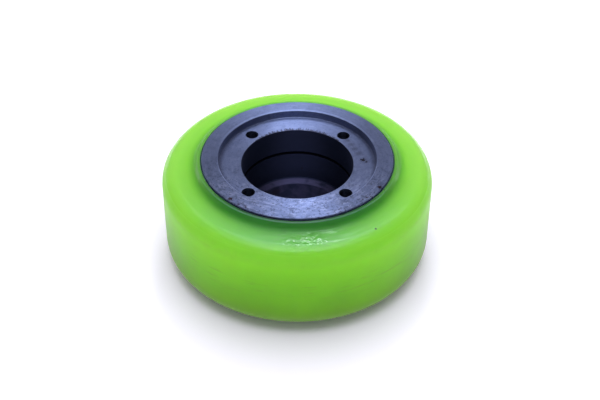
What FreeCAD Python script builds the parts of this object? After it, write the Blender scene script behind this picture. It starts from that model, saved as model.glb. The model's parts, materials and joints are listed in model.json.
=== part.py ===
import FreeCAD, Part
import collections
import math
import os

# A forklift wheel: a turned iron hub with a polyurethane tread cast round its rim.
# Sizes are in millimetres. The wheel turns about Z, and Z = 0 is its middle plane.
# The side with the recess and the bolt holes faces up.

# Radial sizes, from the axis outwards
through_diameter = 77.0  # opening below the bearing shoulder
shoulder_step = 9.0  # width of the shoulder that carries the bearing's outer ring
groove_depth = 1.75  # retaining ring groove, measured from the bore wall
bolt_wall = 4.0  # iron left between the bore and a bolt hole
bolt_diameter = 10.0  # outside diameter of the thread
bolt_margin = 5.5  # recess floor outside the bolt holes
flange_width = 14.0  # ring between the recess and the hub's rim
collar_width = 3.5  # top of the polyurethane collar that climbs the hub's rim
collar_taper = 3.5  # widening of the collar down to the side of the tread
tread_thickness = 34.0  # polyurethane between the hub's rim and the running face

# Axial sizes, from the upper hub face downwards
recess_depth = 7.0
entry_length = 23.35  # bore between the recess floor and the groove
groove_width = 3.15
seat_length = 26.0  # bearing seat between the groove and the shoulder
lip_thickness = 37.0  # hub between the shoulder and the lower face
hub_overhang = 6.25  # hub face beyond the side of the tread, at the foot of the collar
collar_setback = 1.2  # collar edge below the hub face
bolt_depth = 25.0

# Bolt pattern and draft
bolt_count = 4
side_draft_angle = 5.0  # fall of the tread's side towards the running face, in degrees

# Edges
hub_edge_chamfer = 1.0
recess_edge_chamfer = 0.6
bore_edge_chamfer = 0.5
through_edge_chamfer = 1.0
bolt_edge_chamfer = 0.4
tread_shoulder_radius = 13.5

# Radii that follow from the sizes above
through_radius = through_diameter / 2
bore_radius = through_radius + shoulder_step
groove_radius = bore_radius + groove_depth
bolt_radius = bolt_diameter / 2
bolt_circle_radius = bore_radius + bolt_wall + bolt_radius
recess_radius = bolt_circle_radius + bolt_radius + bolt_margin
hub_radius = recess_radius + flange_width
collar_radius = hub_radius + collar_width
collar_foot_radius = collar_radius + collar_taper
tread_radius = hub_radius + tread_thickness

# Levels that follow from the sizes above
hub_width = recess_depth + entry_length + groove_width + seat_length + lip_thickness
hub_top = hub_width / 2
hub_bottom = -hub_top
recess_floor = hub_top - recess_depth
groove_top = recess_floor - entry_length
groove_bottom = groove_top - groove_width
seat_floor = groove_bottom - seat_length
collar_top = hub_top - collar_setback
collar_foot = hub_top - hub_overhang
side_fall = (tread_radius - collar_foot_radius) * math.tan(math.radians(side_draft_angle))
tread_edge = collar_foot - side_fall

axis = FreeCAD.Vector(0, 0, 1)
centre = FreeCAD.Vector(0, 0, 0)

# A corner of a turned section, and the size of the chamfer or fillet on it
Corner = collections.namedtuple("Corner", "point size is_round")


def sharp(radius, level):
    return Corner(FreeCAD.Vector(radius, 0, level), 0.0, False)


def chamfered(radius, level, leg):
    return Corner(FreeCAD.Vector(radius, 0, level), leg, False)


def rounded(radius, level, fillet):
    return Corner(FreeCAD.Vector(radius, 0, level), fillet, True)


def mirrored(corner):
    return corner._replace(point=FreeCAD.Vector(corner.point.x, 0, -corner.point.z))


def wall_directions(corners, index):
    point = corners[index].point
    before = corners[index - 1].point - point
    after = corners[(index + 1) % len(corners)].point - point
    return before.normalize(), after.normalize()


def cut_reaches(corners):
    # How far each corner's cut runs along the two walls beside it.
    reaches = []
    for index, corner in enumerate(corners):
        before, after = wall_directions(corners, index)
        slope = math.tan(before.getAngle(after) / 2) if corner.is_round else 1.0
        reaches.append(corner.size / slope)
    # Two cuts on a wall that is too short for them are shrunk to share it.
    for index, corner in enumerate(corners):
        wall = (corner.point - corners[index - 1].point).Length
        share = wall / max(wall, reaches[index] + reaches[index - 1])
        reaches[index] *= share
        reaches[index - 1] *= share
    return reaches


def arc_middle(point, start, end):
    # Middle of the arc that touches both walls of a corner at start and end.
    chord_middle = (start + end) * 0.5
    half_chord = (end - start).Length / 2
    half_turn = math.acos(half_chord / (start - point).Length)
    return chord_middle + (point - chord_middle).normalize() * half_chord * math.tan(half_turn / 2)


def section(corners):
    starts = []
    ends = []
    reaches = cut_reaches(corners)
    for index, corner in enumerate(corners):
        before, after = wall_directions(corners, index)
        starts.append(corner.point + before * reaches[index])
        ends.append(corner.point + after * reaches[index])
    edges = []
    for index, corner in enumerate(corners):
        start = starts[index]
        end = ends[index]
        if not start.isEqual(ends[index - 1], Part.Precision.confusion()):
            edges.append(Part.LineSegment(ends[index - 1], start).toShape())
        if reaches[index] > 0 and corner.is_round:
            edges.append(Part.Arc(start, arc_middle(corner.point, start, end), end).toShape())
        elif reaches[index] > 0:
            edges.append(Part.LineSegment(start, end).toShape())
    return Part.Face(Part.Wire(edges))


def turned(corners):
    return section(corners).revolve(centre, axis, 360)


def make_hub_blank():
    return turned([
        chamfered(hub_radius, hub_bottom, hub_edge_chamfer),
        chamfered(hub_radius, hub_top, hub_edge_chamfer),
        chamfered(recess_radius, hub_top, recess_edge_chamfer),
        sharp(recess_radius, recess_floor),
        chamfered(bore_radius, recess_floor, bore_edge_chamfer),
        sharp(bore_radius, groove_top),
        sharp(groove_radius, groove_top),
        sharp(groove_radius, groove_bottom),
        sharp(bore_radius, groove_bottom),
        sharp(bore_radius, seat_floor),
        chamfered(through_radius, seat_floor, through_edge_chamfer),
        sharp(through_radius, hub_bottom),
    ])


def make_bolt_hole():
    mouth_radius = bolt_radius + bolt_edge_chamfer
    hole_end = recess_floor - bolt_depth
    outline = [
        FreeCAD.Vector(0, 0, recess_floor),
        FreeCAD.Vector(mouth_radius, 0, recess_floor),
        FreeCAD.Vector(bolt_radius, 0, recess_floor - bolt_edge_chamfer),
        FreeCAD.Vector(bolt_radius, 0, hole_end),
        FreeCAD.Vector(0, 0, hole_end),
        FreeCAD.Vector(0, 0, recess_floor),
    ]
    hole = Part.Face(Part.makePolygon(outline)).revolve(centre, axis, 360)
    hole.translate(FreeCAD.Vector(bolt_circle_radius, 0, 0))
    return hole


def make_hub():
    # The first hole stands half a pitch from +X, so the pattern is even about X and Y.
    pitch = 360 / bolt_count
    holes = []
    for number in range(bolt_count):
        hole = make_bolt_hole()
        hole.rotate(centre, axis, pitch * (number + 0.5))
        holes.append(hole)
    return make_hub_blank().cut(holes)


def make_tread():
    # The section is the same above and below the middle plane.
    upper = [
        rounded(tread_radius, tread_edge, tread_shoulder_radius),
        sharp(collar_foot_radius, collar_foot),
        sharp(collar_radius, collar_top),
        sharp(hub_radius, collar_top),
    ]
    lower = [mirrored(corner) for corner in reversed(upper)]
    return turned(upper + lower)


os.makedirs("parts", exist_ok=True)
make_hub().exportStep("parts/hub.step")
make_tread().exportStep("parts/tread.step")
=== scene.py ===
import bmesh
import bpy
import json
import math
from mathutils import Matrix, Vector
from types import SimpleNamespace


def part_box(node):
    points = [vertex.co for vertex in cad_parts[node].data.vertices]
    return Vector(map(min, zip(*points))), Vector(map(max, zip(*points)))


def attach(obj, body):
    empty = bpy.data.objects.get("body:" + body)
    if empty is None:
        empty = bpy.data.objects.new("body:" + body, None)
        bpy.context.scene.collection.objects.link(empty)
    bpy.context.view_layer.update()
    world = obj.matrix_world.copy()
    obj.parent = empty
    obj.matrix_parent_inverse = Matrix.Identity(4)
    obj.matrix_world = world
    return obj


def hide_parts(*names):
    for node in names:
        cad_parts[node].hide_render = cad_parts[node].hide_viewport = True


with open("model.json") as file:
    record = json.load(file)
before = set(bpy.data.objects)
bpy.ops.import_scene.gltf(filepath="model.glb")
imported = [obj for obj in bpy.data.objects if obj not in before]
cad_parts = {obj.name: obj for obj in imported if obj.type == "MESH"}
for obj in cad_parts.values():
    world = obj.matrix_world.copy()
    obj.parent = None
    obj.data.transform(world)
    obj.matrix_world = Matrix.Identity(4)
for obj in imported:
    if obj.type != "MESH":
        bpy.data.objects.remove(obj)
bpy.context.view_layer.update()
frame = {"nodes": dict(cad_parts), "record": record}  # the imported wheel, in metres, with its axis along Z
mm = 0.001
hubLow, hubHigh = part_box("hub")
treadLow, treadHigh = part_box("tread")
mounts = {mount["name"]: mount for mount in frame["record"]["mounts"]}


def mountSize(name, size):
    return mounts[name]["dims"][size] * mm


def mountLevel(name):
    return mounts[name]["pos_m"][2]


hubRadius, hubFace = hubHigh.x, hubHigh.z
treadRadius = treadHigh.x
recessRadius = mountSize("cover_recess", "r_mm")
recessFloor = mountLevel("cover_bolts")
boreRadius = mountSize("bearing_seat", "r_mm")
seatHalf = mountSize("bearing_seat", "length_mm") / 2
seatTop = mountLevel("bearing_seat") + seatHalf
seatFloor = mountLevel("bearing_seat") - seatHalf
throughRadius = mountSize("axle_bore", "r_mm")
boltCount = mounts["cover_bolts"]["dims"]["count"]
boltCircleRadius = mountSize("cover_bolts", "pcd_mm") / 2
holeRadius = mountSize("cover_bolts", "hole_r_mm")
print("frame loaded:", sorted(frame["nodes"]))


# Small helpers for node trees

def addNode(tree, kind, inputs=None, **settings):
    node = tree.nodes.new(kind)
    for name, value in settings.items():
        setattr(node, name, value)
    for name, value in (inputs or {}).items():
        if isinstance(value, bpy.types.NodeSocket):
            tree.links.new(value, node.inputs[name])
        else:
            node.inputs[name].default_value = value
    return node


def output(tree, kind, inputs=None, **settings):  # the first output of a new node
    return addNode(tree, kind, inputs, **settings).outputs[0]


def calc(tree, operation, *values):
    return output(tree, "ShaderNodeMath", dict(enumerate(values)), operation=operation)


def times(tree, *values):
    product = values[0]
    for value in values[1:]:
        product = calc(tree, "MULTIPLY", product, value)
    return product


def vectorCalc(tree, operation, *values):
    node = addNode(tree, "ShaderNodeVectorMath", dict(enumerate(values)), operation=operation)
    return node.outputs["Value" if operation in ("LENGTH", "DISTANCE") else "Vector"]


def vectorOf(tree, **parts):
    return output(tree, "ShaderNodeCombineXYZ", parts)


def partsOf(tree, vector):
    return addNode(tree, "ShaderNodeSeparateXYZ", {0: vector}).outputs


def ease(tree, value, start, end, low=0.0, high=1.0):  # low up to start, high from end on
    span = {"Value": value, "From Min": start, "From Max": end, "To Min": low, "To Max": high}
    return output(tree, "ShaderNodeMapRange", span, interpolation_type="SMOOTHSTEP")


def within(tree, value, low, high, blur):  # one between low and high
    return times(tree, ease(tree, value, low - blur, low + blur), ease(tree, value, high + blur, high - blur))


def beside(base, offsets):  # lengths that are measured from a base
    return [base + offset for offset in offsets]


def shade(colour, share):
    return [share * part for part in colour]


def mixColour(tree, amount, first, second):
    node = addNode(tree, "ShaderNodeMix", {0: amount}, data_type="RGBA")
    for place, colour in ((6, first), (7, second)):  # the sockets that take colours
        if isinstance(colour, bpy.types.NodeSocket):
            tree.links.new(colour, node.inputs[place])
        else:
            node.inputs[place].default_value = (*colour, 1)
    return node.outputs[2]


def noise(tree, place, size, detail, seed):  # size of one blotch, in metres
    inputs = {"Vector": place, "Scale": 1 / size, "Detail": detail, "W": seed}
    return output(tree, "ShaderNodeTexNoise", inputs, noise_dimensions="4D")


def arcNoise(tree, across, heading, width, turns, detail, seed):  # a pattern that is stretched along circles
    parts = partsOf(tree, heading)
    place = vectorOf(tree, X=calc(tree, "DIVIDE", across, width),
                     Y=times(tree, parts["X"], turns), Z=times(tree, parts["Y"], turns))
    return noise(tree, place, 1.0, detail, seed)


def rings(tree, along, pitch):  # bands across one measure, as a cutting tool leaves
    inputs = {"W": calc(tree, "DIVIDE", along, pitch), "Scale": 1.0, "Detail": 2.0}
    return output(tree, "ShaderNodeTexNoise", inputs, noise_dimensions="1D")


def newTree(name, sockets):
    tree = bpy.data.node_groups.new(name, "GeometryNodeTree")
    tree.interface.new_socket("Geometry", in_out="OUTPUT", socket_type="NodeSocketGeometry")
    for label, kind in sockets.items():
        tree.interface.new_socket(label, in_out="INPUT", socket_type="NodeSocket" + kind)
    return tree, tree.nodes.new("NodeGroupInput").outputs


def endTree(tree, geometry, finish):
    real = output(tree, "GeometryNodeRealizeInstances", {"Geometry": geometry})
    dressed = output(tree, "GeometryNodeSetMaterial", {"Geometry": real, "Material": finish})
    addNode(tree, "NodeGroupOutput", {"Geometry": dressed})
    return tree


def runTree(piece, tree, values):
    modifier = piece.modifiers.new(tree.name, "NODES")
    modifier.node_group = tree
    for item in tree.interface.items_tree:
        if item.in_out == "INPUT" and item.name in values:
            modifier[item.identifier] = values[item.name]


def settleMesh(piece):  # what the modifiers show becomes the piece's own mesh
    graph = bpy.context.evaluated_depsgraph_get()
    shown = piece.evaluated_get(graph)
    mesh = bpy.data.meshes.new_from_object(shown, preserve_all_data_layers=True, depsgraph=graph)
    piece.modifiers.clear()
    piece.data = mesh


mergeDistance = 0.001 * mm


def closeMesh(piece):
    mesh = bmesh.new()
    mesh.from_mesh(piece.data)
    bmesh.ops.remove_doubles(mesh, verts=mesh.verts, dist=mergeDistance)
    bmesh.ops.recalc_face_normals(mesh, faces=mesh.faces)
    mesh.to_mesh(piece.data)
    mesh.free()


def flattenFaces(piece):  # large flat faces keep their own normal beside the rounded edges
    modifier = piece.modifiers.new("flat faces", "WEIGHTED_NORMAL")
    modifier.keep_sharp = True
    settleMesh(piece)


def newPiece(name, points=(), edges=(), faces=()):
    mesh = bpy.data.meshes.new(name)
    mesh.from_pydata(points, edges, faces)
    piece = bpy.data.objects.new(name, mesh)
    bpy.context.scene.collection.objects.link(piece)
    return piece


def newFinish(name):
    material = bpy.data.materials.new(name)
    material.use_nodes = True
    return material, material.node_tree, material.node_tree.nodes["Principled BSDF"]


# Finishes. Both know their place on the wheel and have spots with ragged edges

def wheelPlaces(tree, place):
    parts = partsOf(tree, place)
    flat = vectorOf(tree, X=parts["X"], Y=parts["Y"])
    heading = vectorCalc(tree, "NORMALIZE", flat)
    return SimpleNamespace(
        place=place, flat=flat, heading=heading,
        radius=vectorCalc(tree, "LENGTH", flat),  # from the axis
        level=parts["Z"],
        depth=parts["Y"],  # away from the front
        back=partsOf(tree, heading)["Y"])  # one at the back, minus one at the front


def objectPlaces(tree):
    return wheelPlaces(tree, addNode(tree, "ShaderNodeTexCoord").outputs["Object"])


spotLook = {
    "edge": 1.05,  # where a spot ends, as a share of its size
    "crisp": 0.3,  # blur of its edge, as a share too
    "soft": 0.9,
    "ragged": 2.4,  # spread of the grit that frays it
}


def gritOf(tree, at, size, detail, seed):
    grains = noise(tree, at.place, size, detail, seed)
    return calc(tree, "SUBTRACT", times(tree, grains, spotLook["ragged"]), 1.0)


def spots(tree, at, grit, rows, level, blur="crisp"):  # rows of radius in mm, angle, size in mm and strength
    nearer, farther = (spotLook["edge"] + side * spotLook[blur] for side in (-1, 1))
    total = 0.0
    for radius, degrees, size, strength in rows:
        turn = math.radians(degrees)
        point = (radius * mm * math.cos(turn), radius * mm * math.sin(turn), level)
        away = vectorCalc(tree, "DISTANCE", at.place, point)
        frayed = calc(tree, "ADD", away, times(tree, grit, size * mm))
        spot = ease(tree, frayed, farther * size * mm, nearer * size * mm)
        total = calc(tree, "MAXIMUM", total, times(tree, spot, strength))
    return total


# Plain patterns are given by size, detail and seed,
# arc patterns by width, repeats round the wheel, detail and seed

ironLook = {
    "colour": (0.120, 0.145, 0.268),
    "worn": (0.210, 0.237, 0.395),
    # dark stains; also the colour of the painted shade in the recess corner
    "stain": (0.025, 0.022, 0.035),
    "roughness": (0.38, 0.48),  # where clean and where blotched
    "roughRange": (0.3, 0.8),
    "dullness": 0.15,  # added in the bore and in nicks
    "anisotropy": 0.89,
    "anisotropyTurn": 0.25,  # light spreads across the turning marks
    "wearRange": (5 * mm, -58 * mm),  # along Y: the near half is worn most, and its bright streaks there are also painted highlight
    "farWear": 0.3,
    "feed": 0.4 * mm,  # pitch of the turning marks
    "markDepth": 0.012 * mm,
    "markStrength": 0.5,
    "streaks": (2.2 * mm, 9.0, 3.0, 0.0),
    "streakRange": (0.42, 0.75),
    "streakRelief": 0.8,  # as a share of a mark's depth, as the next two
    "pitRelief": 1.6,
    "nickRelief": 6.0,
    "blotches": (16 * mm, 4.0, 3.0),
    "blotchRange": (0.45, 0.75),
    "blotchTone": (0.35, 0.6),  # how much of it shows, and what is left of the colour
    "mottle": (4.5 * mm, 3.0, 11.0),
    "mottleRange": (0.50, 0.66),
    "mottleTone": (0.6, 0.45),
    "pits": (1.4 * mm, 3.0, 7.0),
    "pitRange": (0.55, 0.65),
    "pitTone": (0.7, 0.25),
}


def ironSurface(tree, at):  # colour and relief of the turned iron, before what lies on it
    along = calc(tree, "ADD", at.radius, at.level)  # runs across faces and along bores alike
    wearAndSheen = ease(tree, at.depth, *ironLook["wearRange"], ironLook["farWear"], 1.0)
    marks = rings(tree, along, ironLook["feed"])
    streaks = arcNoise(tree, along, at.heading, *ironLook["streaks"])
    blotches = noise(tree, at.place, *ironLook["blotches"])
    mottle = noise(tree, at.place, *ironLook["mottle"])
    pits = noise(tree, at.place, *ironLook["pits"])

    # bright worn streaks, strongest on the near half, where they are also painted highlight
    bright = times(tree, ease(tree, streaks, *ironLook["streakRange"]), wearAndSheen)
    colour = mixColour(tree, bright, ironLook["colour"], ironLook["worn"])
    blotched = ease(tree, blotches, *ironLook["blotchRange"])
    mottled = times(tree, ease(tree, mottle, *ironLook["mottleRange"]), wearAndSheen)
    pitted = times(tree, ease(tree, pits, *ironLook["pitRange"]), wearAndSheen)
    for cover, tone in ((blotched, "blotchTone"), (mottled, "mottleTone"), (pitted, "pitTone")):
        amount, left = ironLook[tone]
        colour = mixColour(tree, times(tree, cover, amount), colour, shade(ironLook["colour"], left))

    cut = calc(tree, "ADD", marks, times(tree, streaks, ironLook["streakRelief"]))
    relief = calc(tree, "SUBTRACT", times(tree, cut, wearAndSheen), times(tree, pitted, ironLook["pitRelief"]))
    roughness = ease(tree, blotches, *ironLook["roughRange"], *ironLook["roughness"])
    return colour, relief, roughness


# Radii are measured from the recess wall, levels from the floor or from the hub's face

recessLook = {
    "floorGain": 1.23,  # the floor is cut a little brighter
    "floorLevels": (-0.35 * mm, 0.35 * mm),
    "floorBlur": 0.15 * mm,
    "ringGain": 0.36,  # painted highlight on a ring round the recess at the back
    "ringRadii": (0.3 * mm, 2.2 * mm),
    "ringBlur": 0.5 * mm,
    "ringLevels": (-0.6 * mm, -0.3 * mm),
    "ringBack": (0.0, 0.7),
    "edgeGain": 0.75,  # and painted highlight on the edge itself nearer the front
    "edgeRadii": (-0.1 * mm, 0.8 * mm),
    "edgeBlur": 0.2 * mm,
    "edgeLevels": (-0.8 * mm, -0.5 * mm),
    "edgeBack": (-0.75, -0.15),
    "edgeFade": 0.2,
    "dirt": (0.5, 0.08),  # painted shade in the corner, at the sides and at the back
    "dirtRadii": (-5.0 * mm, 0.0),
    "dirtLevels": (-0.5 * mm, 0.6 * mm),
    "dirtBlur": 0.2 * mm,
    "dirtBack": (0.3, 0.9),
}


def recessCut(tree, at, colour):
    look = recessLook
    onFloor = within(tree, at.level, *beside(recessFloor, look["floorLevels"]), look["floorBlur"])
    # painted highlights: a ring outside the recess at the back and its edge nearer the front
    rimHighlight = times(tree, within(tree, at.radius, *beside(recessRadius, look["ringRadii"]), look["ringBlur"]),
                   ease(tree, at.level, *beside(hubFace, look["ringLevels"])),
                   ease(tree, at.back, *look["ringBack"]))
    edgeHighlight = times(tree, within(tree, at.radius, *beside(recessRadius, look["edgeRadii"]), look["edgeBlur"]),
                   ease(tree, at.level, *beside(hubFace, look["edgeLevels"])),
                   within(tree, at.back, *look["edgeBack"], look["edgeFade"]))
    gain = calc(tree, "ADD", ease(tree, onFloor, 0.0, 1.0, 1.0, look["floorGain"]),
                times(tree, rimHighlight, look["ringGain"]))
    gain = calc(tree, "ADD", gain, times(tree, edgeHighlight, look["edgeGain"]))
    colour = vectorCalc(tree, "MULTIPLY", colour, vectorOf(tree, X=gain, Y=gain, Z=gain))
    # painted shade in the recess corner, strong at the sides and faint at the back
    paintedCornerShade = times(tree, ease(tree, at.radius, *beside(recessRadius, look["dirtRadii"])),
                     within(tree, at.level, *beside(recessFloor, look["dirtLevels"]), look["dirtBlur"]),
                     ease(tree, at.back, *look["dirtBack"], *look["dirt"]))
    return mixColour(tree, paintedCornerShade, colour, ironLook["stain"])


# The bore, its groove and ledge and the bolt holes are dull and oily, and carry painted shade that makes them
# darker than the iron.
# Radii are measured from the bore or hole, levels from the named faces

shadedBoreLook = {
    # painted shade: the bore is much darker than the iron, its ledge a little less
    "colour": (0.026, 0.032, 0.072),
    "ledge": (0.085, 0.080, 0.170),
    "radii": (2.4 * mm, 2.0 * mm),  # the groove lies inside them
    "bottom": 0.4 * mm,  # above the hub's lower face
    "mouth": 0.55 * mm,  # below the recess floor
    "mouthBlur": 0.25 * mm,
    "oil": (9 * mm, 3.0, 8.0),
    "wallOil": (0.42, 0.66),  # below the ledge
    "wallShare": 0.4,
    "wallLevels": (-1.0 * mm, 0.0),
    "grooveRadii": (0.1 * mm, 0.4 * mm),
    "grooveTone": 0.2,
    "ledgeOil": (0.25, 0.5),
    "ledgeLevels": (-1.0 * mm, 0.1 * mm),
    "ledgeLevelBlur": 0.05 * mm,
    "ledgeRadii": (-0.1 * mm, -1.8 * mm),  # from the through hole and from the bore
    "ledgeBlur": 1.0 * mm,
    "holeTone": 0.10,
    "holeRadii": (0.8 * mm, 0.35 * mm),
    "holeLevels": (-31 * mm, 0.15 * mm),  # to below the end of a hole
    "holeBlur": 0.05 * mm,
}


def shadedBore(tree, at, colour):
    look = shadedBoreLook
    levels = (hubLow.z + look["bottom"], recessFloor - look["mouth"])
    # painted shade fills the bore, its groove, its ledge and the bolt holes
    inBore = times(tree, ease(tree, at.radius, *beside(boreRadius, look["radii"])),
                   within(tree, at.level, *levels, look["mouthBlur"]))
    oil = noise(tree, at.place, *look["oil"])
    oiled = ease(tree, oil, *look["wallOil"], 0.0, look["wallShare"])
    wall = mixColour(tree, oiled, look["colour"], look["ledge"])
    aboveLedge = ease(tree, at.level, *beside(seatFloor, look["wallLevels"]))
    wall = mixColour(tree, aboveLedge, wall, look["colour"])
    colour = mixColour(tree, inBore, colour, wall)

    inGroove = times(tree, inBore, ease(tree, at.radius, *beside(boreRadius, look["grooveRadii"])))
    colour = mixColour(tree, inGroove, colour, shade(look["colour"], look["grooveTone"]))
    inner, outer = look["ledgeRadii"]
    levels = beside(seatFloor, look["ledgeLevels"])
    onLedge = times(tree, within(tree, at.level, *levels, look["ledgeLevelBlur"]),
                    within(tree, at.radius, throughRadius + inner, boreRadius + outer, look["ledgeBlur"]))
    ledge = mixColour(tree, ease(tree, oil, *look["ledgeOil"]), look["colour"], look["ledge"])
    colour = mixColour(tree, onLedge, colour, ledge)

    holePlace = boltCircleRadius / math.sqrt(2)  # the four holes lie on the diagonals
    fromHole = vectorCalc(tree, "DISTANCE", vectorCalc(tree, "ABSOLUTE", at.flat), (holePlace, holePlace, 0))
    inHole = times(tree, ease(tree, fromHole, *beside(holeRadius, look["holeRadii"])),
                   within(tree, at.level, *beside(recessFloor, look["holeLevels"]), look["holeBlur"]))
    return mixColour(tree, inHole, colour, shade(ironLook["colour"], look["holeTone"])), inBore


# Torn edge where the boring tool left the floor, widest at the back

tearLook = {
    "teeth": (30 * mm, 66.0, 1.0, 2.0),
    "toothRange": (0.38, 0.62),
    "width": 3.2 * mm,
    "start": 0.2 * mm,  # outside the bore
    "blur": 0.1 * mm,
    "levels": (-1.0 * mm, -0.6 * mm),  # from the recess floor
    "back": (0.5, 0.95),
    "share": 0.8,
}


def tornMouth(tree, at, colour):
    teeth = arcNoise(tree, at.radius, at.heading, *tearLook["teeth"])
    width = times(tree, ease(tree, at.back, *tearLook["back"]),
                  ease(tree, teeth, *tearLook["toothRange"], 0.0, tearLook["width"]))
    outside = calc(tree, "SUBTRACT", at.radius, boreRadius + tearLook["start"])
    beyond = calc(tree, "SUBTRACT", outside, width)
    torn = times(tree, ease(tree, beyond, tearLook["blur"], -tearLook["blur"]),
                 ease(tree, at.level, *beside(recessFloor, tearLook["levels"])))
    return mixColour(tree, times(tree, torn, tearLook["share"]), colour, ironLook["stain"])


# Each row is a radius in mm, an angle in degrees, a size in mm and a strength

stainLook = {
    "grit": (0.7 * mm, 2.0, 1.0),
    "smears": [(54.0, 37.0, 3.0, 0.5), (53.6, 30.0, 3.2, 0.5), (53.4, 23.0, 3.0, 0.45),
               (54.2, 15.0, 2.8, 0.4), (56.8, 4.5, 3.4, 0.35)],
    "nicks": [(56.3, 5.0, 2.0, 1.0), (58.6, 2.4, 1.3, 0.9),
              (54.6, 5.8, 1.0, 0.9), (56.8, 7.6, 0.9, 0.8)],
    "boreNicks": [(boreRadius / mm, 85.1, 0.9, 0.8)],
    "boreNickLevel": -0.8 * mm,
    "rust": (0.022, 0.008, 0.012),
    "rustAreas": [(78.6, -46.0, 11.0, 1.0), (78.8, -62.0, 7.0, 0.8),
                  (78.4, -124.0, 9.0, 0.9), (79.0, -112.0, 5.0, 0.6)],
    "flakes": (1.6 * mm, 34.0, 2.0, 12.0),
    "flakeRange": (0.50, 0.64),
    "flakeRadii": (-6 * mm, -3 * mm),  # from the hub's rim
    "rustSpots": [(78.8, -31.0, 2.0, 1.0), (78.4, -133.0, 2.3, 0.9)],
    "boreRust": [(throughRadius / mm, 120.0, 4.5, 0.35)],
    "boreRustLevel": -18.0 * mm,
}


def stainedIron(tree, at, colour):
    look = stainLook
    grit = gritOf(tree, at, *look["grit"])
    smeared = spots(tree, at, grit, look["smears"], recessFloor, "soft")
    colour = mixColour(tree, smeared, colour, ironLook["stain"])
    nicked = calc(tree, "MAXIMUM", spots(tree, at, grit, look["nicks"], recessFloor),
                  spots(tree, at, grit, look["boreNicks"], look["boreNickLevel"]))
    colour = mixColour(tree, nicked, colour, ironLook["stain"])
    flakes = arcNoise(tree, at.radius, at.heading, *look["flakes"])
    flaking = times(tree, spots(tree, at, grit, look["rustAreas"], hubFace, "soft"),
                    ease(tree, flakes, *look["flakeRange"]),
                    ease(tree, at.radius, *beside(hubRadius, look["flakeRadii"])))
    rusty = calc(tree, "MAXIMUM", flaking, spots(tree, at, grit, look["rustSpots"], hubFace))
    rusty = calc(tree, "MAXIMUM", rusty, spots(tree, at, grit, look["boreRust"], look["boreRustLevel"]))
    return mixColour(tree, rusty, colour, look["rust"]), nicked


def turnedIron():
    material, tree, shader = newFinish("turnedIron")
    at = objectPlaces(tree)
    colour, relief, roughness = ironSurface(tree, at)
    colour = recessCut(tree, at, colour)
    colour, inBore = shadedBore(tree, at, colour)
    colour = tornMouth(tree, at, colour)
    colour, nicked = stainedIron(tree, at, colour)
    relief = calc(tree, "SUBTRACT", relief, times(tree, nicked, ironLook["nickRelief"]))
    bump = output(tree, "ShaderNodeBump", {"Height": relief, "Strength": ironLook["markStrength"],
                                           "Distance": ironLook["markDepth"]})
    dull = times(tree, calc(tree, "MAXIMUM", nicked, inBore), ironLook["dullness"])
    tangent = output(tree, "ShaderNodeTangent", direction_type="RADIAL", axis="Z")
    tree.links.new(colour, shader.inputs["Base Color"])
    tree.links.new(calc(tree, "ADD", dull, roughness), shader.inputs["Roughness"])
    tree.links.new(bump, shader.inputs["Normal"])
    tree.links.new(tangent, shader.inputs["Tangent"])
    shader.inputs["Metallic"].default_value = 1.0
    shader.inputs["Anisotropic"].default_value = ironLook["anisotropy"]
    shader.inputs["Anisotropic Rotation"].default_value = ironLook["anisotropyTurn"]
    return material


# Radii are measured from the running face or, at the collar, from the hub's rim

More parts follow.
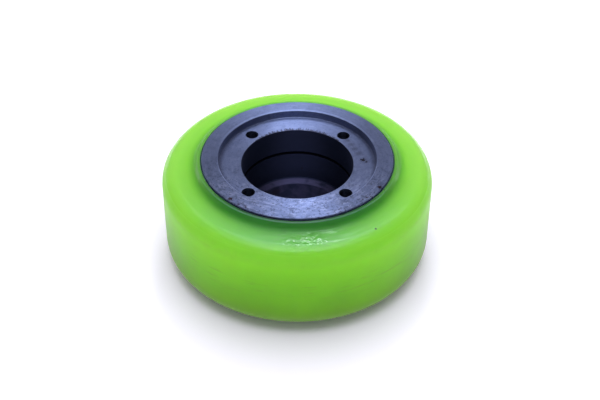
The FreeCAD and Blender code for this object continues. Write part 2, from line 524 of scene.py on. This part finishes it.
castLook = {
    "colour": (0.238, 0.70, 0.045),
    "faceColour": (0.31, 0.96, 0.034),  # painted light: the middle band of the running face is brighter
    "faceRadii": (-6 * mm, -1.5 * mm),
    "faceColourRadii": (-5.5 * mm, -0.5 * mm),
    "faceColourLevels": (36 * mm, 20 * mm),  # to either side of the middle
    "deep": (0.165, 0.40, 0.026),  # painted shade: darker towards the lower side
    "settled": (-0.1, 0.9),
    "settleStart": 8 * mm,  # below the upper collar
    "unevenness": (60 * mm, 3.0, 0.0),
    "unevenRange": (0.3, 0.7),
    "unevenShare": 0.2,
    "cloud": (0.10, 0.45, 0.04),  # painted shade: darker at the front of the upper side
    "cloudPoint": (0, -88 * mm, 44 * mm),
    "cloudReach": (130 * mm, 10 * mm),
    "cloudRadii": (-2 * mm, -14 * mm),
    "collar": (0.045, 0.30, 0.034),  # thin polyurethane over the dark iron, and painted shade at the collar's foot
    "collarRadii": (14 * mm, 3.5 * mm),
    "collarClouds": (0.0, 0.8),
    "collarShares": (0.6, 1.0),  # outside the front shade and in it
    # painted highlight on the collar's edge, used only at the front
    "collarEdge": (0.16, 0.50, 0.20),
    "collarEdgeRadii": (3.0 * mm, 3.9 * mm),
    "collarEdgeBlur": 0.3 * mm,
    "collarEdgeShare": 0.7,
    "seam": (0.02, 0.04, 0.05),  # where it meets the iron
    "seamRadii": (1.8 * mm, 0.6 * mm),
    "frontSeamRadii": (3.0 * mm, 1.4 * mm),  # painted shade: wider at the front
    "frontSeamClouds": (0.5, 0.95),
    "scuff": (0.24, 0.46, 0.05),
    "scuffs": (2.4 * mm, 6.0, 2.0, 6.0),
    "scuffRange": (0.54, 0.74),
    "scuffShare": 0.45,
    "scuffBand": (-10 * mm, 7 * mm),  # levels where the running face is rubbed
    "scuffBlur": 4 * mm,
    "dust": (0.24, 0.50, 0.12),  # painted light: paler and greyer on the lower edge
    "dustLevels": (26 * mm, 8 * mm),  # above the lower side
    "dustShare": 0.45,
    "speck": (0.03, 0.06, 0.02),
    "specks": [(104.5, -53.0, 1.1, 1.0)],
    "speckLevel": 40.4 * mm,
    "speckGrit": (1.2 * mm, 2.0, 5.0),
    "roughness": (0.15, 0.34),  # of the sides and of the running face
    "shine": (0.42, 0.10),
    "dullFoot": (20 * mm, 8 * mm),  # the foot of the collar shines as little as the face
    "dullEdge": (3.4 * mm, 4.2 * mm),
    "dullEdgeShare": 0.75,
    "lightReach": 110 * mm,  # how far light wanders inside
    "lightColours": (0.95, 1.0, 0.6),  # share of that for red, green and blue
    "ringPitch": 3.0 * mm,
    "ringDepth": 0.06 * mm,
    "arcs": (4.5 * mm, 9.0, 1.0, 4.0),
    "arcDepth": 0.15 * mm,
    "dents": (3.0 * mm, 28.0, 1.5, 9.0),
    "dentDepth": 0.65 * mm,
    "dentPoint": (7 * mm, -103 * mm, 41 * mm),  # a patch that the mould left uneven
    "dentReach": (24 * mm, 4 * mm),
}


def castColour(tree, at, onFace):
    look = castLook
    # painted light: the middle band of the running face is brighter
    onWall = times(tree, ease(tree, at.radius, *beside(treadRadius, look["faceColourRadii"])),
                   ease(tree, calc(tree, "ABSOLUTE", at.level), *look["faceColourLevels"]))
    faceLight = mixColour(tree, onWall, look["colour"], look["faceColour"])
    patches = noise(tree, at.place, *look["unevenness"])
    # painted shade: darker towards the lower side, with random patches
    settled = calc(tree, "ADD",
                   ease(tree, at.level, treadHigh.z - look["settleStart"], treadLow.z, *look["settled"]),
                   ease(tree, patches, *look["unevenRange"], 0.0, look["unevenShare"]))
    colour = mixColour(tree, settled, faceLight, look["deep"])
    # painted shade at the front of the upper side
    fromFrontShade = vectorCalc(tree, "DISTANCE", at.place, look["cloudPoint"])
    cloud = times(tree, ease(tree, fromFrontShade, *look["cloudReach"]),
                  ease(tree, at.radius, *beside(treadRadius, look["cloudRadii"])))
    colour = mixColour(tree, cloud, colour, look["cloud"])

    # thin polyurethane over the dark iron and painted shade at the collar, deeper at the front
    thinAndShaded = times(tree, ease(tree, at.radius, *beside(hubRadius, look["collarRadii"])),
                 ease(tree, cloud, *look["collarClouds"], *look["collarShares"]))
    colour = mixColour(tree, thinAndShaded, colour, look["collar"])
    # painted highlight on the collar's edge, only in the front shade
    collarEdge = within(tree, at.radius, *beside(hubRadius, look["collarEdgeRadii"]), look["collarEdgeBlur"])
    edgeHighlight = times(tree, cloud, collarEdge, look["collarEdgeShare"])
    colour = mixColour(tree, edgeHighlight, colour, look["collarEdge"])
    # painted shade: the dark line at the iron is wider at the front
    frontSeamShade = times(tree, ease(tree, cloud, *look["frontSeamClouds"]),
                      ease(tree, at.radius, *beside(hubRadius, look["frontSeamRadii"])))
    seam = calc(tree, "MAXIMUM", ease(tree, at.radius, *beside(hubRadius, look["seamRadii"])), frontSeamShade)
    colour = mixColour(tree, seam, colour, look["seam"])

    scuffs = arcNoise(tree, at.level, at.heading, *look["scuffs"])
    scuffed = times(tree, ease(tree, scuffs, *look["scuffRange"], 0.0, look["scuffShare"]), onFace,
                    within(tree, at.level, *look["scuffBand"], look["scuffBlur"]))
    colour = mixColour(tree, scuffed, colour, look["scuff"])
    # painted light: paler and greyer towards the lower edge
    paleLowerEdgeMask = ease(tree, at.level, *beside(treadLow.z, look["dustLevels"]), 0.0, look["dustShare"])
    colour = mixColour(tree, paleLowerEdgeMask, colour, look["dust"])
    specked = spots(tree, at, gritOf(tree, at, *look["speckGrit"]), look["specks"], look["speckLevel"])
    return mixColour(tree, specked, colour, look["speck"])


def castRelief(tree, at, onFace):  # rings and dents from the mould, none on the running face
    look = castLook
    ringMarks = rings(tree, at.radius, look["ringPitch"])
    arcs = arcNoise(tree, at.radius, at.heading, *look["arcs"])
    dents = arcNoise(tree, at.radius, at.heading, *look["dents"])
    fromDents = vectorCalc(tree, "DISTANCE", at.place, look["dentPoint"])
    dented = times(tree, dents, ease(tree, fromDents, *look["dentReach"]), look["dentDepth"])
    relief = calc(tree, "ADD", times(tree, ringMarks, look["ringDepth"]), times(tree, arcs, look["arcDepth"]))
    relief = calc(tree, "ADD", relief, dented)
    return times(tree, relief, calc(tree, "SUBTRACT", 1.0, onFace))


def greenPolyurethane():
    material, tree, shader = newFinish("greenPolyurethane")
    at = objectPlaces(tree)
    look = castLook
    onFace = ease(tree, at.radius, *beside(treadRadius, look["faceRadii"]))
    atFoot = times(tree, ease(tree, at.radius, *beside(hubRadius, look["dullFoot"])),
                   ease(tree, at.radius, *beside(hubRadius, look["dullEdge"]), look["dullEdgeShare"], 1.0))
    dull = calc(tree, "MAXIMUM", onFace, atFoot)
    roughness = ease(tree, onFace, 0.0, 1.0, *look["roughness"])
    shine = ease(tree, dull, 0.0, 1.0, *look["shine"])
    relief = castRelief(tree, at, onFace)
    bump = output(tree, "ShaderNodeBump", {"Height": relief, "Strength": 1.0, "Distance": 1.0})  # in metres
    tree.links.new(castColour(tree, at, onFace), shader.inputs["Base Color"])
    tree.links.new(roughness, shader.inputs["Roughness"])
    tree.links.new(bump, shader.inputs["Normal"])
    tree.links.new(shine, shader.inputs["Specular IOR Level"])
    shader.inputs["Subsurface Weight"].default_value = 1.0
    shader.inputs["Subsurface Radius"].default_value = look["lightColours"]
    shader.inputs["Subsurface Scale"].default_value = look["lightReach"]
    return material


iron = turnedIron()
polyurethane = greenPolyurethane()
print("finishes made")


# Turned pieces: a closed section, each corner with its own fillet, swept round the axis

spindleRadius = 10 * mm  # of the circle that the section is swept along


def turnedTree():
    tree, given = newTree("turned section", {
        "Section": "Geometry", "Turn Segments": "Int", "Arc Segments": "Int", "Row Step": "Float",
        "Spindle": "Float", "Finish": "Material"})
    outline = output(tree, "GeometryNodeMeshToCurve", {"Mesh": given["Section"]})
    fillet = addNode(tree, "GeometryNodeInputNamedAttribute", {"Name": "cornerRadius"}, data_type="FLOAT")
    rounded = output(tree, "GeometryNodeFilletCurve", {
        "Curve": outline, "Count": given["Arc Segments"], "Radius": fillet.outputs["Attribute"]}, mode="POLY")
    here = output(tree, "GeometryNodeInputPosition")
    after = addNode(tree, "GeometryNodeOffsetPointInCurve", {"Offset": 1}).outputs["Point Index"]
    there = output(tree, "GeometryNodeFieldAtIndex", {"Value": here, "Index": after},
                   data_type="FLOAT_VECTOR", domain="POINT")
    run = vectorCalc(tree, "DISTANCE", here, there)
    cuts = calc(tree, "FLOOR", calc(tree, "DIVIDE", run, given["Row Step"]))
    rows = output(tree, "GeometryNodeSubdivideCurve", {"Curve": rounded, "Cuts": cuts})
    profile = output(tree, "GeometryNodeTransform", {
        "Geometry": rows, "Translation": vectorOf(tree, X=times(tree, given["Spindle"], -1.0)),
        "Rotation": (math.pi / 2, 0, 0)})
    circle = output(tree, "GeometryNodeCurvePrimitiveCircle", {
        "Resolution": given["Turn Segments"], "Radius": given["Spindle"]}, mode="RADIUS")
    body = output(tree, "GeometryNodeCurveToMesh", {"Curve": circle, "Profile Curve": profile})
    whole = output(tree, "GeometryNodeMergeByDistance", {"Geometry": body, "Distance": mergeDistance})
    smooth = output(tree, "GeometryNodeSetShadeSmooth", {"Geometry": whole, "Shade Smooth": True})
    return endTree(tree, smooth, given["Finish"])


lathe = turnedTree()


def turnedPiece(name, corners, finish, shape):
    points = [(radius, 0, level) for radius, level, fillet in corners]
    edges = [(index, (index + 1) % len(points)) for index in range(len(points))]
    piece = newPiece(name, points, edges)
    fillets = piece.data.attributes.new("cornerRadius", "FLOAT", "POINT")
    fillets.data.foreach_set("value", [fillet for radius, level, fillet in corners])
    runTree(piece, lathe, {"Turn Segments": shape["turnSegments"], "Arc Segments": shape["arcSegments"],
                           "Row Step": shape["rowStep"], "Spindle": spindleRadius, "Finish": finish})
    settleMesh(piece)
    closeMesh(piece)
    return piece


# The polyurethane tread

treadShape = {
    "shoulder": 13.5 * mm,
    "sideDraft": math.radians(5.0),
    "collarWidth": 3.5 * mm,
    "collarFlare": 3.5 * mm,
    "collarHeight": 5.05 * mm,
    "collarEdge": 1.2 * mm,
    "collarFoot": 5 * mm,
    "turnSegments": 256,
    "arcSegments": 10,
    "rowStep": 1.5 * mm,
}


def makeTread():
    collarTop = treadHigh.z
    footLevel = collarTop - treadShape["collarHeight"]
    collarRadius = hubRadius + treadShape["collarWidth"]
    footRadius = collarRadius + treadShape["collarFlare"]
    edgeLevel = footLevel - (treadRadius - footRadius) * math.tan(treadShape["sideDraft"])
    upper = [(treadRadius, edgeLevel, treadShape["shoulder"]),
             (footRadius, footLevel, treadShape["collarFoot"]),
             (collarRadius, collarTop, treadShape["collarEdge"]),
             (hubRadius, collarTop, 0)]
    lower = [(radius, -level, fillet) for radius, level, fillet in reversed(upper)]
    return turnedPiece("treadRing", upper + lower, polyurethane, treadShape)


rippleShape = {
    "Depth": 0.3 * mm,
    "Width": 5.5 * mm,
    "Turns": 7.0,
    "Inner Radius": 89 * mm,
    "Outer Radius": 110 * mm,
    "Fade": 6 * mm,
    "Detail": 1.0,
    "Seed": 0.0,
}


def rippleTree():  # shallow waves that the casting left on both sides
    sizes = dict.fromkeys(rippleShape, "Float")
    tree, given = newTree("cast ripples", {"Body": "Geometry", **sizes, "Finish": "Material"})
    at = wheelPlaces(tree, output(tree, "GeometryNodeInputPosition"))
    across = times(tree, at.radius, calc(tree, "SIGN", at.level))  # so that the two sides differ
    pattern = (given[name] for name in ("Width", "Turns", "Detail", "Seed"))
    waves = arcNoise(tree, across, at.heading, *pattern)
    inner, outer, fade = given["Inner Radius"], given["Outer Radius"], given["Fade"]
    reach = times(tree, ease(tree, at.radius, inner, calc(tree, "ADD", inner, fade)),
                  ease(tree, at.radius, outer, calc(tree, "SUBTRACT", outer, fade)))
    sink = times(tree, waves, reach, times(tree, given["Depth"], -1.0))
    normal = output(tree, "GeometryNodeInputNormal")
    shift = output(tree, "ShaderNodeVectorMath", {0: normal, "Scale": sink}, operation="SCALE")
    moved = output(tree, "GeometryNodeSetPosition", {"Geometry": given["Body"], "Offset": shift})
    return endTree(tree, moved, given["Finish"])


tread = makeTread()
runTree(tread, rippleTree(), {**rippleShape, "Finish": polyurethane})
settleMesh(tread)
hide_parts("tread")
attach(tread, "root")
print("tread turned:", len(tread.data.polygons), "faces")


# The iron hub

hubShape = {
    "rimEdge": 0.9 * mm,
    "recessEdge": 0.6 * mm,
    "recessCorner": 1.0 * mm,
    "boreEdge": 0.5 * mm,
    "grooveDepth": 1.75 * mm,
    "grooveWidth": 3.15 * mm,
    "grooveEdge": 0.15 * mm,
    "seatCorner": 0.4 * mm,
    "ledgeEdge": 0.9 * mm,
    "turnSegments": 240,
    "arcSegments": 4,
    "rowStep": 200 * mm,  # flat faces and bores need no rows
    "sharpAngle": math.radians(35),  # steeper edges are not shaded smooth
}


def makeHub():
    grooveTop = seatTop + hubShape["grooveWidth"]
    grooveWall = boreRadius + hubShape["grooveDepth"]
    corners = [
        (hubRadius, hubLow.z, hubShape["rimEdge"]),
        (hubRadius, hubFace, hubShape["rimEdge"]),
        (recessRadius, hubFace, hubShape["recessEdge"]),
        (recessRadius, recessFloor, hubShape["recessCorner"]),
        (boreRadius, recessFloor, hubShape["boreEdge"]),
        (boreRadius, grooveTop, hubShape["grooveEdge"]),
        (grooveWall, grooveTop, hubShape["grooveEdge"]),
        (grooveWall, seatTop, hubShape["grooveEdge"]),
        (boreRadius, seatTop, hubShape["grooveEdge"]),
        (boreRadius, seatFloor, hubShape["seatCorner"]),
        (throughRadius, seatFloor, hubShape["ledgeEdge"]),
        (throughRadius, hubLow.z, hubShape["boreEdge"]),
    ]
    return turnedPiece("hubCasting", corners, iron, hubShape)


boltSockets = {"Bolt Count": "Int", "Bolt Circle Radius": "Float", "First Angle": "Float",
               "Floor Level": "Float", "Hole Radius": "Float", "Hole Depth": "Float", "Finish": "Material"}
boltSizes = {
    "Bolt Count": boltCount,
    "Bolt Circle Radius": boltCircleRadius,
    "First Angle": math.pi / boltCount,  # half a pitch from +X
    "Floor Level": recessFloor,
    "Hole Radius": holeRadius,
    "Hole Depth": 25 * mm,
    "Finish": iron,
}


def raised(tree, geometry, height):
    lift = vectorOf(tree, Z=height)
    return output(tree, "GeometryNodeTransform", {"Geometry": geometry, "Translation": lift})


def onBoltCircle(tree, given, tool):
    circle = output(tree, "GeometryNodeMeshCircle", {"Vertices": given["Bolt Count"],
                                                     "Radius": given["Bolt Circle Radius"]})
    places = output(tree, "GeometryNodeTransform", {
        "Geometry": circle, "Rotation": vectorOf(tree, Z=given["First Angle"]),
        "Translation": vectorOf(tree, Z=given["Floor Level"])})
    return output(tree, "GeometryNodeInstanceOnPoints", {"Points": places, "Instance": tool})


drillShape = {
    "sides": 48,
    "mouth": 0.4 * mm,  # width of the broken edge
    "above": 1 * mm,  # how far the drill stands above the floor
}


def holeTree():
    tree, given = newTree("drilled holes", {"Body": "Geometry", "Hole Mouth": "Float", **boltSockets})
    length = calc(tree, "ADD", given["Hole Depth"], drillShape["above"])
    drill = output(tree, "GeometryNodeMeshCylinder", {"Vertices": drillShape["sides"], "Depth": length,
                                                      "Radius": given["Hole Radius"]})
    lowered = raised(tree, drill, calc(tree, "SUBTRACT", drillShape["above"], times(tree, length, 0.5)))
    sinkDepth = calc(tree, "ADD", given["Hole Mouth"], drillShape["above"])
    sink = output(tree, "GeometryNodeMeshCone", {
        "Vertices": drillShape["sides"], "Depth": sinkDepth, "Radius Bottom": given["Hole Radius"],
        "Radius Top": calc(tree, "ADD", given["Hole Radius"], sinkDepth)})
    sunk = raised(tree, sink, times(tree, given["Hole Mouth"], -1.0))
    cut = addNode(tree, "GeometryNodeMeshBoolean", {"Mesh 1": given["Body"]},
                  operation="DIFFERENCE", solver="EXACT")
    for tool in (lowered, sunk):
        copies = onBoltCircle(tree, given, tool)
        cutter = output(tree, "GeometryNodeRealizeInstances", {"Geometry": copies})
        tree.links.new(cutter, cut.inputs["Mesh 2"])
    smooth = output(tree, "GeometryNodeSetShadeSmooth", {
        "Geometry": cut.outputs["Mesh"], "Shade Smooth": True})
    angle = addNode(tree, "GeometryNodeInputMeshEdgeAngle").outputs["Unsigned Angle"]
    sharp = output(tree, "GeometryNodeSetShadeSmooth", {
        "Geometry": smooth, "Shade Smooth": False,
        "Selection": calc(tree, "GREATER_THAN", angle, hubShape["sharpAngle"])}, domain="EDGE")
    return endTree(tree, sharp, given["Finish"])


hub = makeHub()
runTree(hub, holeTree(), {**boltSizes, "Hole Mouth": drillShape["mouth"]})
settleMesh(hub)
closeMesh(hub)
flattenFaces(hub)
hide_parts("hub")
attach(hub, "root")
print("hub turned and drilled:", len(hub.data.polygons), "faces")


# The threads in the four bolt holes

threadShape = {
    "Pitch": 1.5 * mm,
    "Ridge Height": 0.8 * mm,
    "Start Depth": 0.9 * mm,
    "Bottom Gap": 1.5 * mm,
    "Root Width": 1.29 * mm,
    "Crest Width": 0.21 * mm,
    "Seat": 0.384 * mm,  # from the wall to the middle of the ridge, so that its root is sunk in
}
threadSides = 32  # of one turn


def threadTree():
    sizes = dict.fromkeys(threadShape, "Float")
    tree, given = newTree("bolt threads", {"Base": "Geometry", **sizes, **boltSockets})
    depth = calc(tree, "SUBTRACT", given["Hole Depth"], given["Start Depth"])
    rise = calc(tree, "SUBTRACT", depth, given["Bottom Gap"])
    helix = output(tree, "GeometryNodeCurveSpiral", {
        "Resolution": threadSides, "Rotations": calc(tree, "DIVIDE", rise, given["Pitch"]), "Height": rise,
        "Start Radius": given["Hole Radius"], "End Radius": given["Hole Radius"]})
    upright = output(tree, "GeometryNodeSetCurveNormal", {"Curve": helix}, mode="Z_UP")
    ridge = output(tree, "GeometryNodeCurvePrimitiveQuadrilateral", {
        "Height": given["Ridge Height"], "Offset": 0.0, "Bottom Width": given["Root Width"],
        "Top Width": given["Crest Width"]}, mode="TRAPEZOID")
    inward = output(tree, "GeometryNodeTransform", {
        "Geometry": ridge, "Rotation": (0, 0, math.pi / 2),
        "Translation": vectorOf(tree, X=times(tree, given["Seat"], -1.0))})
    thread = output(tree, "GeometryNodeCurveToMesh", {
        "Curve": upright, "Profile Curve": inward, "Fill Caps": True})
    sunk = raised(tree, thread, calc(tree, "SUBTRACT", given["Bottom Gap"], given["Hole Depth"]))
    return endTree(tree, onBoltCircle(tree, given, sunk), given["Finish"])


threads = newPiece("boltThreads")
runTree(threads, threadTree(), {**boltSizes, **threadShape})
settleMesh(threads)
closeMesh(threads)
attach(threads, "root")
print("threads cut:", len(threads.data.polygons), "faces")


# Floor, light and camera

floorLook = {
    "colour": (0.8, 0.8, 0.8),
    "seenColour": (1.18, 1.055, 1.16),  # bright enough to look white
    "farColour": (2.2, 2.2, 2.2),
    "farFrom": (0.28, 1.6),
    "size": 60.0,
}


def makeFloor():
    half = floorLook["size"] / 2
    corners = [(x * half, y * half, hubLow.z) for x, y in ((-1, -1), (1, -1), (1, 1), (-1, 1))]
    floor = newPiece("floor", corners, faces=[(0, 1, 2, 3)])
    material, tree, shader = newFinish("paleFloor")
    rays = addNode(tree, "ShaderNodeLightPath").outputs
    seen = calc(tree, "MAXIMUM", calc(tree, "MAXIMUM", rays["Is Camera Ray"], rays["Is Glossy Ray"]),
                rays["Is Transmission Ray"])
    away = vectorCalc(tree, "LENGTH", addNode(tree, "ShaderNodeTexCoord").outputs["Object"])
    far = ease(tree, away, *floorLook["farFrom"])
    white = mixColour(tree, far, floorLook["seenColour"], floorLook["farColour"])
    matt = output(tree, "ShaderNodeBsdfDiffuse", {"Color": mixColour(tree, seen, floorLook["colour"], white)})
    tree.links.new(matt, tree.nodes["Material Output"].inputs["Surface"])
    tree.nodes.remove(shader)
    floor.data.materials.append(material)


skyLook = {
    "colour": (0.95, 0.97, 1.0),
    "strength": (0.47, 0.7),  # at the front and at the back
    "backRange": (-0.4, 0.7),
    "sideShare": 0.5,  # what is left of that at the two sides
    "sideRange": (0.3, 0.95),
}
lampRows = {  # place, target, size in metres, radiance and colour
    "overheadSoftbox": ((0, 0.55, 2.2), (0, 0.55, 0), (2.4, 3.0), 1.05, (1, 1, 1)),
    "overheadStrip": ((0.05, 0.175, 2.19), (0.05, 0.175, 0), (1.3, 2.75), 2.0, (0.75, 0.87, 1)),
    "sparkLamp": ((0.10, 1.22, 2.1), (0, -0.1, 0), (0.35, 0.25), 19.0, (0.85, 0.92, 1)),
}


def makeSky():
    world = bpy.data.worlds.new("studio")
    world.use_nodes = True
    tree = world.node_tree
    facing = partsOf(tree, addNode(tree, "ShaderNodeTexCoord").outputs["Generated"])
    strength = ease(tree, facing["Y"], *skyLook["backRange"], *skyLook["strength"])
    aside = calc(tree, "ABSOLUTE", facing["X"])
    sideways = ease(tree, aside, *skyLook["sideRange"], 1.0, skyLook["sideShare"])
    sky = tree.nodes["Background"]
    sky.inputs["Color"].default_value = (*skyLook["colour"], 1)
    tree.links.new(times(tree, strength, sideways), sky.inputs["Strength"])
    bpy.context.scene.world = world


def makeLamp(name, place, target, size, radiance, colour):
    lamp = bpy.data.lights.new(name, "AREA")
    lamp.shape = "RECTANGLE"
    lamp.size, lamp.size_y = size
    lamp.energy = radiance * math.pi * size[0] * size[1]
    lamp.color = colour
    holder = bpy.data.objects.new(name, lamp)
    holder.location = place
    holder.rotation_euler = (Vector(target) - Vector(place)).to_track_quat("-Z", "Y").to_euler()
    bpy.context.scene.collection.objects.link(holder)


cameraSet = {
    "lens": 67.68,
    "sensor": 36.0,
    "picture": (600, 400),
    "aimPixel": (297.37, 156.36),  # where the middle of the hub's face stands in the picture
    "distance": 0.95208,
    "pitch": math.radians(39.404),
    "roll": math.radians(0.5105),
}


def makeCamera():
    camera = bpy.data.cameras.new("camera")
    camera.lens = cameraSet["lens"]
    camera.sensor_width = cameraSet["sensor"]
    width, height = cameraSet["picture"]
    pixel = cameraSet["distance"] * cameraSet["sensor"] / cameraSet["lens"] / width  # metres at the aim point
    pitch = cameraSet["pitch"]
    ahead = Vector((0, math.cos(pitch), -math.sin(pitch)))
    turn = Matrix.Rotation(-cameraSet["roll"], 3, ahead)
    right = turn @ Vector((1, 0, 0))
    up = turn @ Vector((0, math.sin(pitch), math.cos(pitch)))
    across = (cameraSet["aimPixel"][0] - width / 2) * pixel
    above = (height / 2 - cameraSet["aimPixel"][1]) * pixel
    place = Vector((0, 0, hubFace)) - ahead * cameraSet["distance"] - right * across - up * above
    holder = bpy.data.objects.new("camera", camera)
    holder.matrix_world = Matrix.LocRotScale(place, Matrix((right, up, -ahead)).transposed(), None)
    bpy.context.scene.collection.objects.link(holder)
    bpy.context.scene.camera = holder
    print("camera at", [round(part, 4) for part in place])


makeFloor()
makeSky()
for lampName, lampRow in lampRows.items():
    makeLamp(lampName, *lampRow)
makeCamera()
bpy.context.scene.view_settings.view_transform = "Standard"
print("stage set")
